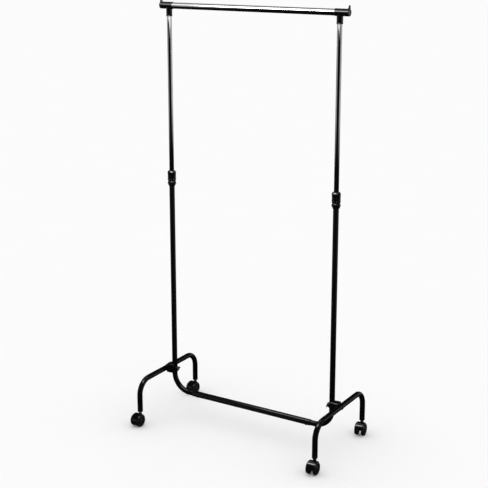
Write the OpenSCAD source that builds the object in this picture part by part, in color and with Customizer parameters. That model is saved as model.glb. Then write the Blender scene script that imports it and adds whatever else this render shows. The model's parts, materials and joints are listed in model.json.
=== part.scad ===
// Rolling clothes rack.
// Two telescoping uprights stand on inverted-U legs with twin-wheel casters. The lower tubes bend in
// at the foot and meet in a crossbar; the upper tubes slide in the lower ones, are held by twist-lock
// collars and carry the hanging rail in two tee connectors.
// X runs along the hanging rail, Y from front to back, Z up. The origin is on the floor, under the
// middle of the rack's bounding box.

/* [Overall] */
// Distance between the axes of the two uprights
upright_spacing = 756; // [620:1:920]
// Height of the hanging rail's axis above the floor
rail_height = 1720; // [1500:1:2070]
// Distance between the axes of a leg's two ends
leg_span = 410; // [330:1:560]
// Height of the top of the collar ring on a lower tube
collar_height = 1008; // [820:1:1215]
// Height of the axis of a leg's straight top bar
leg_bar_height = 189; // [158:1:230]
// Depth of the crossbar's axis below the leg's top bar
crossbar_drop = 95; // [78:1:114]

/* [Tubes] */
// Outside diameter of the chromed upper tubes
upper_od = 19; // [15.8:0.1:23]
// Free width round an upper tube inside its lower tube, on each side
glide_gap = 0.4; // [0.3:0.05:0.6]
// Outside diameter of the leg tubes
leg_od = 22.2; // [18:0.1:27]
// Outside diameter of the hanging rail
rail_od = 25.4; // [21:0.1:31]
// Wall of the lower and leg tubes
tube_wall = 1.2; // [0.8:0.1:1.6]
// Wall of the crossbar
crossbar_wall = 1.5; // [1:0.1:2]
// Wall of the chromed tubes
chrome_wall = 1; // [0.8:0.1:1.2]
// Bend radius of a leg's two bends, at the tube's axis
leg_bend = 60; // [45:1:74]
// Straight length between a foot bend and the crossbar's end
foot_straight = 20; // [8:1:30]
// Length of a foot that is inside the crossbar
foot_insert = 45; // [30:1:60]
// Length of an upper tube that is inside its lower tube
upper_insert = 80; // [60:1:100]

/* [Collars] */
// Wall of the lock nut outside its thread, which also sets the collar ring's diameter
nut_wall = 3.85; // [3.5:0.05:5]
// Height of the lock nut
nut_height = 42; // [38:1:50]
// Height of the collar ring
ring_height = 19; // [17:1:24]
// Number of grip grooves round the lock nut
nut_grooves = 12; // [8:1:16]
// Diameter of the stop rivet's head
rivet_head_d = 4.6; // [4:0.1:6]

/* [Tee connectors] */
// Plastic wall round the hanging rail
tee_wall = 1.2; // [1:0.1:1.6]
// Plastic wall round the upper tube
tee_socket_wall = 2.4; // [2:0.1:3.2]
// Reach of the socket below the rail's axis
tee_drop = 42; // [34:1:52]
// Reach of the arm's mouth inwards from the socket
tee_mouth = 6; // [4:0.5:8]
// Reach of the arm outwards from the upright's axis
tee_outer = 40; // [36:1:50]
// Height of the hanger stop's tongue above the rail's axis
tongue_height = 27; // [22:1:33]
// Width of the hanger stop's tongue
tongue_width = 11; // [9:0.5:14]

/* [Leg joints] */
// Distance between the axes of an upright and its leg
leg_offset = 35; // [32:0.5:44]
// Height of the saddle block
saddle_height = 40; // [32:1:48]
// Width of the saddle block along the leg
saddle_width = 36; // [32:1:44]
// Diameter of the leg bolt
bolt_d = 6; // [5:0.5:8]
// Span of the wing nut across its wings
wing_span = 24; // [20:1:29]

/* [Casters] */
// Diameter of a caster's wheels
wheel_d = 50; // [41:1:60]
// Width of one wheel
wheel_w = 13.5; // [11:0.5:16.5]
// Plastic wall round the stem, which also sets the gap between the wheels
boss_wall = 3; // [2:0.1:5]
// Distance of the axle behind the swivel axis
caster_trail = 17; // [14:0.5:20]
// Bare length of the stem between the hood and the leg's plug
stem_bare = 5; // [3:0.5:10]
// Diameter of a caster's stem
stem_d = 8; // [6:0.1:10]
// Diameter of the axle
axle_d = 6; // [5:0.1:8]

/* [Hidden] */
$fn = 64;

// Clearances
running_fit = 0.05;   // radial, round what turns or slides
assembly_fit = 0.05;  // radial, between pieces that stay together
free_gap = 0.5;       // between bodies that pass each other
over = 1;             // how far a cut reaches past what it cuts
bolt_clearance = 0.3; // radial, round a bolt's shank

// Sides of the rack, as seen from the front
LEFT = -1;
RIGHT = 1;
FRONT = -1;
REAR = 1;

// Tubes
upper_r = upper_od / 2;
upper_bore = upper_r - chrome_wall;
lower_bore = upper_r + glide_gap;
lower_r = lower_bore + tube_wall;
leg_r = leg_od / 2;
leg_bore = leg_r - tube_wall;
rail_r = rail_od / 2;
crossbar_bore = lower_r + 2 * assembly_fit;
crossbar_r = crossbar_bore + crossbar_wall;
crossbar_height = leg_bar_height - crossbar_drop;
foot_bend = crossbar_drop - saddle_height / 2; // the bend starts right under the saddle
half_spacing = upright_spacing / 2;
half_leg = leg_span / 2;
crossbar_end = half_spacing - foot_bend - foot_straight;
screw_inset = 20;     // crossbar screw from the crossbar's end
screw_r = 2;
screw_head_r = 4.2;
screw_head_h = 2.2;
screw_tip = 2;        // how far a screw's tip reaches past the foot's wall
screw_bite = 0.4;     // how far a screw's head sinks in the crossbar's curve
cross_slot = [1, 5, 2];

// Collar: heights above the top of the collar ring
tube_seat = -4;       // the lower tube's end
ring_lip = 1.5;       // the ring's lip over the collet's foot
ring_belly = [8, 5];  // depths between which the ring has its full diameter
ring_bevel = 2.2;     // how far the ring's top is drawn in
ring_foot = 1.2;      // width of the ring's foot round the tube
collet_wall = 3.3;
collet_foot = 1.4;    // how far the collet's foot stands out of its sleeve
foot_ledge = 2;       // least width of the collet's foot on the tube's end
thread_depth = 0.8;
collet_r = upper_r + collet_wall;
collet_foot_r = max(collet_r + collet_foot, lower_r + foot_ledge);
thread_r = collet_r + thread_depth;
collar_r = max(thread_r + running_fit + nut_wall, collet_foot_r + ring_bevel);
cone_h = 5;           // the collet's tapered tip
cone_wall = 1.2;
thread_pitch = 4;
thread_turns = 6;
thread_start = 1.5;   // lowest thread above the nut's foot
nut_base = 3;         // visible neck below the nut
nut_crown = 6;
nut_foot_in = 2;      // the nut's lower bevel
nut_foot_h = 4;
nut_hip = 0.2;        // how far the nut is drawn in above its lower bevel, and at its waist
nut_waist = 0.9;
crown_in = 4.2;       // the nut's upper bevel
crown_wall = 2;
groove_r = 1.8;
groove_out = 0.2;     // a groove's axis outside the nut
groove_start = 6;     // lowest point of a groove above the nut's foot
groove_stop = 3;      // a groove's end below the upper bevel
collet_top = nut_base + nut_height - nut_crown - crown_wall;
slit_w = 1.5;
slit_foot = nut_base + thread_pitch * thread_turns + thread_pitch / 2;
rivet_drop = 28;
rivet_r = 1.5;
rivet_head_h = 1.1;
rivet_taper = 0.8;
rivet_in = 0.2;       // how far a rivet's shank reaches into the tube's bore
bush_flange = 12;
bush_spigot = 20;
bush_wall = 2;

// Tees
tee_arm_r = rail_r + tee_wall;
tee_socket_r = upper_r + tee_socket_wall;
tee_inner = tee_socket_r + tee_mouth;
tee_lip = 0.6;        // the lips at the tee's mouths, in radius and in length
tee_lip_w = 3;
tee_wall_end = 3.5;   // the flat end wall that carries the tongue
tongue_cove = max(1, min(7, tongue_height - tongue_width / 2 - tee_arm_r));
rail_reach = 20;      // the rail's seat in a tee, outside the upright's axis
rail_play = 1;        // between the rail's end and that seat
rail_gap = 1.5;       // between an upper tube's end and the rail
upper_top = rail_height - rail_r - rail_gap;

// Leg joints
saddle_cheek = 4;     // how far the saddle reaches inwards past the upright's axis
saddle_round = 8;
saddle_bite = 7;      // how far the saddle reaches over the near side of its leg
saddle_reach = leg_offset - leg_r + saddle_bite;
saddle_skin = 3.5;    // saddle wall beside the upright
saddle_front = 2;     // where the saddle starts to widen
saddle_end = 12;      // length of the saddle's wide end
cap_wall = 2.4;
cap_size = 18;
cap_round = 4;
cap_grip = 3.5;       // how far the cap reaches round the tube
bolt_r = bolt_d / 2;
bolt_head_r = bolt_d * 1.25;
bolt_head_h = bolt_d * 0.55;
nut_hub_r = bolt_r + 2.6;
nut_hub_l = 7;
bolt_tail = 2.5;
bolt_sink = 0.6;      // the head's underside is cut to the leg's curve by this much
bolt_socket = 1.2;
bolt_socket_r = bolt_head_r * 0.45;
bolt_end = lower_r + cap_wall + nut_hub_l + bolt_tail;
wing_t = 2.2;
wing_reach = 10;      // how far the wings stand along the bolt
wing_tip_r = 4;
wing_angle = 35;

// Casters
wheel_r = wheel_d / 2;
axle_r = axle_d / 2;
stem_r = stem_d / 2;
shoulder = 4;         // rounding of a tyre's edges
web_half = stem_r + boss_wall;
wheel_in = web_half + free_gap;
wheel_out = wheel_in + wheel_w;
hub_r = axle_r + 5;
rim_r = wheel_r - shoulder - 1;
dish = 2.5;           // depth of the outer face's dish
inner_dish = 2;
hub_skin = 1.5;       // what closes the axle's bore
axle_end = 3;         // from the axle's end to the wheel's face
hood_gap = 1.5;
hood_wall = 2;
hood_in = wheel_r + hood_gap;
hood_r = hood_in + hood_wall;
hood_reveal = 5.5;    // width of each wheel outside the hood
hood_half = wheel_out - hood_reveal;
hood_front = 8;       // angle above level where the hood's front edge is
hood_back = 165;      // angle where its back edge is
eye_r = axle_r + 6;   // web round the axle
web_share = 0.93;     // the web's reach as a share of the hood's bore
boss_r = web_half;
boss_root = 2;        // how far the boss reaches below the axle
boss_top = wheel_r + hood_r - 0.5;
plug_lip = 2;
plug_depth = 32;
leg_end_height = boss_top + stem_bare + plug_lip;
stem_foot = wheel_r + 6;
stem_ring = 1.2;      // depth and height of the stem's groove, and its depth below the top
stem_ring_h = 3;
stem_ring_drop = 9;
stem_point = [3, 1.5]; // height and draw of the stem's pointed top

// Swivel angle of each caster, clockwise from above, from trailing straight to the front
front_left_turn = 4;
rear_left_turn = 6;
front_right_turn = -4;
rear_right_turn = -9;

// Reach of a turned caster from its swivel axis along the rack's axes. A wheel's outline from above
// is a rectangle with round corners, the hood's is a plain rectangle.
function wheel_reach(along_axle, along_trail) =
    (wheel_out - shoulder) * abs(along_axle) + (wheel_r - shoulder) * abs(along_trail) + shoulder
    - caster_trail * along_trail;
function hood_reach(along_axle, along_trail) =
    hood_half * abs(along_axle)
    + (along_trail > 0 ? hood_r * cos(hood_front) : hood_r * cos(180 - hood_back))
    * abs(along_trail) - caster_trail * along_trail;
function caster_reach(along_axle, along_trail) =
    max(wheel_reach(along_axle, along_trail), hood_reach(along_axle, along_trail));
function right_reach(turn) = caster_reach(cos(turn), sin(turn));
function left_reach(turn) = caster_reach(-cos(turn), -sin(turn));
function back_reach(turn) = caster_reach(-sin(turn), cos(turn));
function front_reach(turn) = caster_reach(sin(turn), -cos(turn));

bolt_reach = leg_r - bolt_sink + bolt_head_h;
most_right = max(right_reach(front_right_turn), right_reach(rear_right_turn), bolt_reach);
most_left = max(left_reach(front_left_turn), left_reach(rear_left_turn), bolt_reach);
most_back = max(back_reach(rear_left_turn), back_reach(rear_right_turn));
most_front = max(front_reach(front_left_turn), front_reach(front_right_turn));
middle_x = (most_right - most_left) / 2;
middle_y = (most_back - most_front) / 2;

// Places a piece of the rack in the rack's frame
module in_frame() {
    translate([-middle_x, -middle_y, 0]) children();
}

// Places a piece that is drawn round a right-hand upright, on either side
module at_side(side) {
    in_frame() mirror([side == LEFT ? 1 : 0, 0, 0]) translate([half_spacing, 0, 0]) children();
}

// Places a piece of a caster that is drawn round its swivel axis
module at_caster(side, end, turn) {
    in_frame()
        translate([side * (half_spacing + leg_offset), end * half_leg, 0])
            rotate([0, 0, -turn]) children();
}

module ring(outer, inner, height) {
    difference() {
        cylinder(r = outer, h = height);
        translate([0, 0, -over]) cylinder(r = inner, h = height + 2 * over);
    }
}

module along_x(start, length, r) {
    translate([start, 0, 0]) rotate([0, 90, 0]) cylinder(r = r, h = length);
}

module rounded_square(width, height, round) {
    square([width - 2 * round, height], center = true);
    square([width, height - 2 * round], center = true);
    for (x = [-1, 1], y = [-1, 1])
        translate([x * (width / 2 - round), y * (height / 2 - round)]) circle(r = round);
}

// A quarter bend of a solid bar in the XZ plane, from pointing up at the origin to pointing -X
module foot_bend_solid(r) {
    translate([-foot_bend, 0, 0])
        rotate([90, 0, 0])
            rotate_extrude(angle = -90) translate([foot_bend, 0]) circle(r = r);
}

// The lower tube's whole path, as a solid bar that reaches past both ends by extra
module upright_bar(r, extra) {
    foot_top = crossbar_height + foot_bend;
    translate([0, 0, foot_top])
        cylinder(r = r, h = collar_height + tube_seat - foot_top + extra);
    translate([0, 0, foot_top]) foot_bend_solid(r);
    inner_end = foot_bend + foot_straight + foot_insert + extra;
    translate([0, 0, crossbar_height]) along_x(-inner_end, inner_end - foot_bend, r);
}

module upright(side) {
    at_side(side) color("#0b0b0c")
        difference() {
            upright_bar(lower_r, 0);
            upright_bar(lower_bore, over);
            translate([0, 0, leg_bar_height])
                along_x(-lower_r - over, 2 * (lower_r + over), bolt_r + bolt_clearance);
            translate([0, 0, collar_height - rivet_drop])
                rotate([90, 0, 0]) cylinder(r = rivet_r + assembly_fit, h = lower_r + over);
            translate([-foot_bend - foot_straight - screw_inset, 0, 0])
                cylinder(r = screw_r + assembly_fit, h = crossbar_height);
        }
}

module crossbar() {
    in_frame() color("#0b0b0c")
        difference() {
            translate([0, 0, crossbar_height]) along_x(-crossbar_end, 2 * crossbar_end, crossbar_r);
            translate([0, 0, crossbar_height])
                along_x(-crossbar_end - over, 2 * (crossbar_end + over), crossbar_bore);
            for (side = [LEFT, RIGHT])
                translate([side * (crossbar_end - screw_inset), 0, 0])
                    cylinder(r = screw_r + assembly_fit, h = crossbar_height);
        }
}

// Pan-head screws from below, one through each end of the crossbar into the foot inside it
module crossbar_screws() {
    for (side = [LEFT, RIGHT])
        in_frame() color("#1b1c1e")
            translate([side * (crossbar_end - screw_inset), 0, crossbar_height - crossbar_r]) {
                cylinder(r = screw_r, h = crossbar_r - lower_bore + screw_tip);
                difference() {
                    translate([0, 0, screw_bite - screw_head_h])
                        cylinder(r = screw_head_r, h = screw_head_h);
                    translate([0, 0, crossbar_r])
                        along_x(-2 * screw_head_r, 4 * screw_head_r, crossbar_r);
                    for (slot = [0, 90])
                        translate([0, 0, -screw_head_h]) rotate([0, 0, slot])
                            cube(cross_slot, center = true);
                }
            }
}

// Half of the leg's path as a solid bar, from its middle to its end
module half_leg_bar(r, extra) {
    rotate([-90, 0, 0]) cylinder(r = r, h = half_leg - leg_bend);
    translate([0, half_leg - leg_bend, -leg_bend])
        rotate([0, -90, 0])
            rotate_extrude(angle = 90) translate([leg_bend, 0]) circle(r = r);
    straight = leg_bar_height - leg_bend - leg_end_height;
    translate([0, half_leg, -leg_bend - straight - extra]) cylinder(r = r, h = straight + extra);
}

module leg_bar(r, extra) {
    half_leg_bar(r, extra);
    mirror([0, 1, 0]) half_leg_bar(r, extra);
}

module leg(side) {
    at_side(side) color("#0b0b0c")
        translate([leg_offset, 0, leg_bar_height])
            difference() {
                leg_bar(leg_r, 0);
                leg_bar(leg_bore, over);
                along_x(-leg_r - over, 2 * (leg_r + over), bolt_r + bolt_clearance);
            }
}

// The moulded block that keys a leg to its upright
module saddle(side) {
    at_side(side) color("#141416")
        translate([0, 0, leg_bar_height])
            difference() {
                intersection() {
                    translate([-saddle_cheek, 0, 0]) rotate([90, 0, 90])
                        linear_extrude(saddle_reach + saddle_cheek)
                            rounded_square(saddle_width, saddle_height, saddle_round);
                    translate([0, 0, -saddle_height / 2])
                        linear_extrude(saddle_height) saddle_plan();
                }
                translate([0, 0, -saddle_height])
                    cylinder(r = lower_r + assembly_fit, h = 2 * saddle_height);
                translate([leg_offset, 0, 0]) rotate([90, 0, 0])
                    cylinder(r = leg_r + assembly_fit, h = 2 * saddle_width, center = true);
                along_x(0, leg_offset, bolt_r + bolt_clearance);
            }
}

// The saddle from above: narrow round the upright and wide along the leg
module saddle_plan() {
    narrow = lower_r + saddle_skin;
    wide = saddle_width / 2;
    polygon([
        [-saddle_cheek, -narrow], [saddle_front, -narrow], [saddle_reach - saddle_end, -wide],
        [saddle_reach, -wide], [saddle_reach, wide], [saddle_reach - saddle_end, wide],
        [saddle_front, narrow], [-saddle_cheek, narrow]
    ]);
}

// The curved washer between an upright and its wing nut
module clamp_cap(side) {
    at_side(side) color("#141416")
        translate([0, 0, leg_bar_height])
            difference() {
                translate([-lower_r - cap_wall, 0, 0]) rotate([90, 0, 90])
                    linear_extrude(cap_wall + cap_grip)
                        rounded_square(cap_size, cap_size, cap_round);
                translate([0, 0, -cap_size]) cylinder(r = lower_r + assembly_fit, h = 2 * cap_size);
                along_x(-lower_r - cap_wall - over, lower_r, bolt_r + bolt_clearance);
            }
}

// A round-headed bolt from outside the leg, through saddle and upright to the wing nut
module leg_bolt(side) {
    head_at = leg_offset + leg_r - bolt_sink;
    at_side(side) color("#2a2b2e")
        translate([0, 0, leg_bar_height]) {
            along_x(-bolt_end, bolt_end + head_at + bolt_head_h - bolt_socket, bolt_r);
            difference() {
                along_x(head_at, bolt_head_h, bolt_head_r);
                translate([leg_offset, 0, 0]) rotate([90, 0, 0])
                    cylinder(r = leg_r, h = 4 * bolt_head_r, center = true);
                along_x(head_at + bolt_head_h - bolt_socket, bolt_socket + over, bolt_socket_r);
            }
        }
}

module wing_nut(side) {
    at_side(side) color("#1b1c1e")
        translate([-lower_r - cap_wall, 0, leg_bar_height])
            rotate([wing_angle, 0, 0])
                difference() {
                    union() {
                        along_x(-nut_hub_l, nut_hub_l, nut_hub_r);
                        wing_blade(-1);
                        wing_blade(1);
                    }
                    along_x(-nut_hub_l - over, nut_hub_l + 2 * over, bolt_r + running_fit);
                    along_x(-2 * wing_reach, 2 * wing_reach - nut_hub_l, bolt_r + free_gap);
                }
}

// One wing: a round tip joined to the hub by a blade that widens towards it
module wing_blade(wing) {
    tip_at = wing_span / 2 - wing_tip_r;
    root_in = -over;
    translate([0, wing_t / 2, 0]) rotate([90, 0, 0])
        linear_extrude(wing_t) {
            translate([wing_tip_r - wing_reach, wing * tip_at]) circle(r = wing_tip_r);
            polygon([
                [root_in, wing * nut_hub_r * 0.3], [root_in, wing * nut_hub_r * 0.9],
                [2 * wing_tip_r - wing_reach, wing * tip_at],
                [wing_tip_r - wing_reach, wing * (tip_at + wing_tip_r)],
                [wing_tip_r / 2 - wing_reach, wing * tip_at],
                [-nut_hub_l, wing * nut_hub_r * 0.6]
            ]);
        }
}

module at_collar(side) {
    at_side(side) translate([0, 0, collar_height]) children();
}

// The flared ring fixed on a lower tube's top, which holds the collet's foot
module collar_ring(side) {
    at_collar(side) color("#141416")
        rotate_extrude()
            polygon([
                [lower_r + assembly_fit, -ring_height],
                [lower_r + ring_foot, -ring_height],
                [collar_r, -ring_belly[0]],
                [collar_r, -ring_belly[1]],
                [collar_r - ring_bevel, ring_lip],
                [collet_r + assembly_fit, ring_lip],
                [collet_r + assembly_fit, 0],
                [collet_foot_r + assembly_fit, 0],
                [collet_foot_r + assembly_fit, tube_seat],
                [lower_r + assembly_fit, tube_seat]
            ]);
}

// The split sleeve that the lock nut squeezes on the upper tube
module collet(side) {
    at_collar(side) color("#1b1c1e")
        difference() {
            union() {
                translate([0, 0, tube_seat]) cylinder(r = collet_foot_r, h = -tube_seat);
                cylinder(r = collet_r, h = collet_top - cone_h);
                translate([0, 0, collet_top - cone_h])
                    cylinder(r1 = collet_r, r2 = upper_r + cone_wall, h = cone_h);
                for (turn = [0:thread_turns - 1])
                    translate([0, 0, nut_base + thread_start + turn * thread_pitch])
                        cylinder(r = thread_r, h = thread_pitch / 2);
            }
            translate([0, 0, tube_seat - over])
                cylinder(r = upper_r + running_fit, h = collet_top - tube_seat + 2 * over);
            for (slit = [0, 90])
                rotate([0, 0, slit])
                    translate([-collet_foot_r, -slit_w / 2, slit_foot])
                        cube([2 * collet_foot_r, slit_w, collet_top]);
        }
}

// Rivets that stop an upper tube's glide bush, so the tube can't be pulled out
module stop_rivets() {
    for (side = [LEFT, RIGHT])
        at_collar(side) color("#1b1c1e")
            translate([0, 0, -rivet_drop])
                rotate([90, 0, 0]) {
                    translate([0, 0, lower_bore - rivet_in])
                        cylinder(r = rivet_r, h = tube_wall + rivet_in + rivet_head_h / 2);
                    translate([0, 0, lower_r])
                        cylinder(r1 = rivet_head_d / 2, r2 = rivet_head_d / 2 - rivet_taper,
                                 h = rivet_head_h);
                }
}

module lock_nut(side) {
    bore = thread_r + running_fit;
    top = nut_base + nut_height;
    at_collar(side) color("#141416")
        difference() {
            rotate_extrude()
                polygon([
                    [bore, nut_base],
                    [collar_r - nut_foot_in, nut_base],
                    [collar_r - nut_hip, nut_base + nut_foot_h],
                    [collar_r - nut_waist, nut_base + nut_height / 2],
                    [collar_r, top - nut_crown],
                    [collar_r - crown_in, top],
                    [upper_r + free_gap, top],
                    [upper_r + free_gap, top - crown_wall],
                    [bore, top - nut_crown - free_gap]
                ]);
            for (groove = [0:nut_grooves - 1])
                rotate([0, 0, groove * 360 / nut_grooves])
                    translate([collar_r + groove_out, 0, nut_base + groove_start])
                        cylinder(r = groove_r,
                                 h = nut_height - nut_crown - groove_start - groove_stop);
        }
}

module upper_tube(side) {
    bottom = collar_height - upper_insert;
    at_side(side) color("#c9ccd0")
        translate([0, 0, bottom]) ring(upper_r, upper_bore, upper_top - bottom);
}

// The plastic foot of an upper tube, which glides in the lower tube
module glide_bush(side) {
    at_side(side) color("#1b1c1e")
        translate([0, 0, collar_height - upper_insert]) {
            difference() {
                union() {
                    translate([0, 0, -bush_flange]) cylinder(r = lower_bore - running_fit, h = bush_flange);
                    cylinder(r = upper_bore - assembly_fit, h = bush_spigot);
                }
                translate([0, 0, -bush_flange - over])
                    cylinder(r = upper_bore - bush_wall, h = bush_flange + bush_spigot + 2 * over);
            }
        }
}

// The tee that joins an upper tube to the rail and stops hangers at its outer end
module tee(side) {
    at_side(side) color("#141416")
        translate([0, 0, rail_height])
            difference() {
                union() {
                    along_x(-tee_inner, tee_inner + tee_outer, tee_arm_r);
                    along_x(-tee_inner, tee_lip_w, tee_arm_r + tee_lip);
                    translate([0, 0, -tee_drop]) cylinder(r = tee_socket_r, h = tee_drop);
                    translate([0, 0, -tee_drop]) cylinder(r = tee_socket_r + tee_lip, h = tee_lip_w);
                    tongue();
                }
                along_x(-tee_inner - over, tee_inner + rail_reach + over, rail_r + assembly_fit);
                translate([0, 0, -tee_drop - over])
                    cylinder(r = upper_r + assembly_fit, h = tee_drop + over - rail_r - rail_gap);
            }
}

// The hanger stop: a narrow tongue with a round top on the arm's closed end, eased into the arm by
// a cove
module tongue() {
    wall_in = tee_outer - tee_wall_end;
    top_r = tongue_width / 2;
    cove_top = tee_arm_r + tongue_cove;
    translate([wall_in, 0, 0]) rotate([90, 0, 90])
        linear_extrude(tee_wall_end) {
            translate([0, tongue_height - top_r]) circle(r = top_r);
            translate([-top_r, 0]) square([tongue_width, tongue_height - top_r]);
        }
    translate([0, top_r, 0]) rotate([90, 0, 0])
        linear_extrude(tongue_width)
            difference() {
                translate([wall_in - tongue_cove, 0]) square([tongue_cove + over, cove_top]);
                translate([wall_in - tongue_cove, cove_top]) circle(r = tongue_cove);
            }
}

module hanging_rail() {
    reach = half_spacing + rail_reach - rail_play;
    in_frame() color("#c9ccd0")
        translate([0, 0, rail_height])
            difference() {
                along_x(-reach, 2 * reach, rail_r);
                along_x(-reach - over, 2 * (reach + over), rail_r - chrome_wall);
            }
}

// The socket pushed in a leg's end, which a caster's stem turns in
module caster_plug(side, end) {
    in_frame()
        translate([side * (half_spacing + leg_offset), end * half_leg, leg_end_height])
            color("#141416")
                difference() {
                    union() {
                        cylinder(r = leg_bore - assembly_fit, h = plug_depth);
                        translate([0, 0, -plug_lip]) cylinder(r = leg_r, h = plug_lip);
                    }
                    translate([0, 0, -plug_lip - over])
                        cylinder(r = stem_r + running_fit, h = plug_depth + plug_lip + 2 * over);
                }
}

module caster_stem(side, end, turn) {
    top = leg_end_height + plug_depth;
    at_caster(side, end, turn) color("#8a8d92")
        difference() {
            union() {
                translate([0, 0, stem_foot]) cylinder(r = stem_r, h = top - stem_point[0] - stem_foot);
                translate([0, 0, top - stem_point[0]])
                    cylinder(r1 = stem_r, r2 = stem_r - stem_point[1], h = stem_point[0]);
            }
            translate([0, 0, top - stem_ring_drop])
                difference() {
                    cylinder(r = stem_r + over, h = stem_ring_h);
                    cylinder(r = stem_r - stem_ring, h = stem_ring_h);
                }
        }
}

// The side view of the hood's shell: a ring sector over both wheels, in the plane of local Y and Z
module hood_side() {
    far = 3 * hood_r;
    difference() {
        circle(r = hood_r);
        circle(r = hood_in);
        polygon([
            [0, 0],
            [far * cos(hood_front), far * sin(hood_front)],
            [far, -far],
            [-far, -far],
            [far * cos(hood_back), far * sin(hood_back)]
        ]);
    }
}

// The side view of the web between the wheels
module web_side() {
    web_reach = hood_in * web_share;
    circle(r = eye_r);
    intersection() {
        circle(r = hood_in + hood_wall / 4);
        translate([-web_reach, axle_r]) square([2 * web_reach, hood_r]);
    }
}

module caster_hood(side, end, turn) {
    at_caster(side, end, turn) color("#141416")
        difference() {
            union() {
                translate([0, -caster_trail, wheel_r]) rotate([90, 0, 90]) {
                    translate([0, 0, -hood_half]) linear_extrude(2 * hood_half) hood_side();
                    translate([0, 0, -web_half]) linear_extrude(2 * web_half) web_side();
                }
                translate([0, 0, wheel_r - boss_root])
                    cylinder(r = boss_r, h = boss_top - wheel_r + boss_root);
            }
            translate([0, 0, stem_foot]) cylinder(r = stem_r + assembly_fit / 2, h = hood_r + wheel_r);
            translate([0, -caster_trail, wheel_r])
                along_x(-wheel_out, 2 * wheel_out, axle_r + assembly_fit / 2);
        }
}

module caster_axle(side, end, turn) {
    reach = wheel_out - axle_end;
    at_caster(side, end, turn) color("#8a8d92")
        translate([0, -caster_trail, wheel_r]) along_x(-reach, 2 * reach, axle_r);
}

// One wheel, on the side of the caster that hand gives: a tyre with round shoulders and a dished face
module caster_wheel(side, end, turn, hand) {
    at_caster(side, end, turn) color("#101011")
        translate([0, -caster_trail, wheel_r])
            rotate([0, hand * 90, 0])
                translate([0, 0, wheel_in])
                    rotate_extrude() wheel_section();
}

// Half of the wheel's section: radius along X, width along Y from the inner face
module wheel_section() {
    bore = axle_r + running_fit;
    difference() {
        union() {
            square([wheel_r - shoulder, wheel_w]);
            translate([0, shoulder]) square([wheel_r, wheel_w - 2 * shoulder]);
            for (y = [shoulder, wheel_w - shoulder])
                translate([wheel_r - shoulder, y]) circle(r = shoulder);
        }
        translate([-over, -over]) square([over + bore, wheel_w - hub_skin + over]);
        translate([hub_r, wheel_w - dish]) square([rim_r - hub_r, dish + over]);
        translate([hub_r, -over]) square([rim_r - hub_r, inner_dish + over]);
        translate([-wheel_r, -over]) square([wheel_r, wheel_w + 2 * over]);
    }
}

upright(LEFT);  // left_upright
upright(RIGHT);  // right_upright
crossbar();
crossbar_screws();
leg(LEFT);  // left_leg
leg(RIGHT);  // right_leg
saddle(LEFT);  // left_saddle
saddle(RIGHT);  // right_saddle
clamp_cap(LEFT);  // left_clamp_cap
clamp_cap(RIGHT);  // right_clamp_cap
leg_bolt(LEFT);  // left_leg_bolt
leg_bolt(RIGHT);  // right_leg_bolt
wing_nut(LEFT);  // left_wing_nut
wing_nut(RIGHT);  // right_wing_nut
collar_ring(LEFT);  // left_collar_ring
collar_ring(RIGHT);  // right_collar_ring
collet(LEFT);  // left_collet
collet(RIGHT);  // right_collet
stop_rivets();
lock_nut(LEFT);  // left_lock_nut
lock_nut(RIGHT);  // right_lock_nut
upper_tube(LEFT);  // left_upper_tube
upper_tube(RIGHT);  // right_upper_tube
glide_bush(LEFT);  // left_glide_bush
glide_bush(RIGHT);  // right_glide_bush
tee(LEFT);  // left_tee
tee(RIGHT);  // right_tee
hanging_rail();

caster_plug(LEFT, FRONT);  // front_left_plug
caster_stem(LEFT, FRONT, front_left_turn);  // front_left_stem
caster_hood(LEFT, FRONT, front_left_turn);  // front_left_hood
caster_axle(LEFT, FRONT, front_left_turn);  // front_left_axle
caster_wheel(LEFT, FRONT, front_left_turn, -1);  // front_left_wheel_a
caster_wheel(LEFT, FRONT, front_left_turn, 1);  // front_left_wheel_b
caster_plug(LEFT, REAR);  // rear_left_plug
caster_stem(LEFT, REAR, rear_left_turn);  // rear_left_stem
caster_hood(LEFT, REAR, rear_left_turn);  // rear_left_hood
caster_axle(LEFT, REAR, rear_left_turn);  // rear_left_axle
caster_wheel(LEFT, REAR, rear_left_turn, -1);  // rear_left_wheel_a
caster_wheel(LEFT, REAR, rear_left_turn, 1);  // rear_left_wheel_b
caster_plug(RIGHT, FRONT);  // front_right_plug
caster_stem(RIGHT, FRONT, front_right_turn);  // front_right_stem
caster_hood(RIGHT, FRONT, front_right_turn);  // front_right_hood
caster_axle(RIGHT, FRONT, front_right_turn);  // front_right_axle
caster_wheel(RIGHT, FRONT, front_right_turn, -1);  // front_right_wheel_a
caster_wheel(RIGHT, FRONT, front_right_turn, 1);  // front_right_wheel_b
caster_plug(RIGHT, REAR);  // rear_right_plug
caster_stem(RIGHT, REAR, rear_right_turn);  // rear_right_stem
caster_hood(RIGHT, REAR, rear_right_turn);  // rear_right_hood
caster_axle(RIGHT, REAR, rear_right_turn);  // rear_right_axle
caster_wheel(RIGHT, REAR, rear_right_turn, -1);  // rear_right_wheel_a
caster_wheel(RIGHT, REAR, rear_right_turn, 1);  // rear_right_wheel_b
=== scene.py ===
# Rolling clothes rack: the looks of every piece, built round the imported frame.
# Metres, Z up, the rail along X. Sizes and places come from the frame's own nodes.
import json
import math

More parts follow.
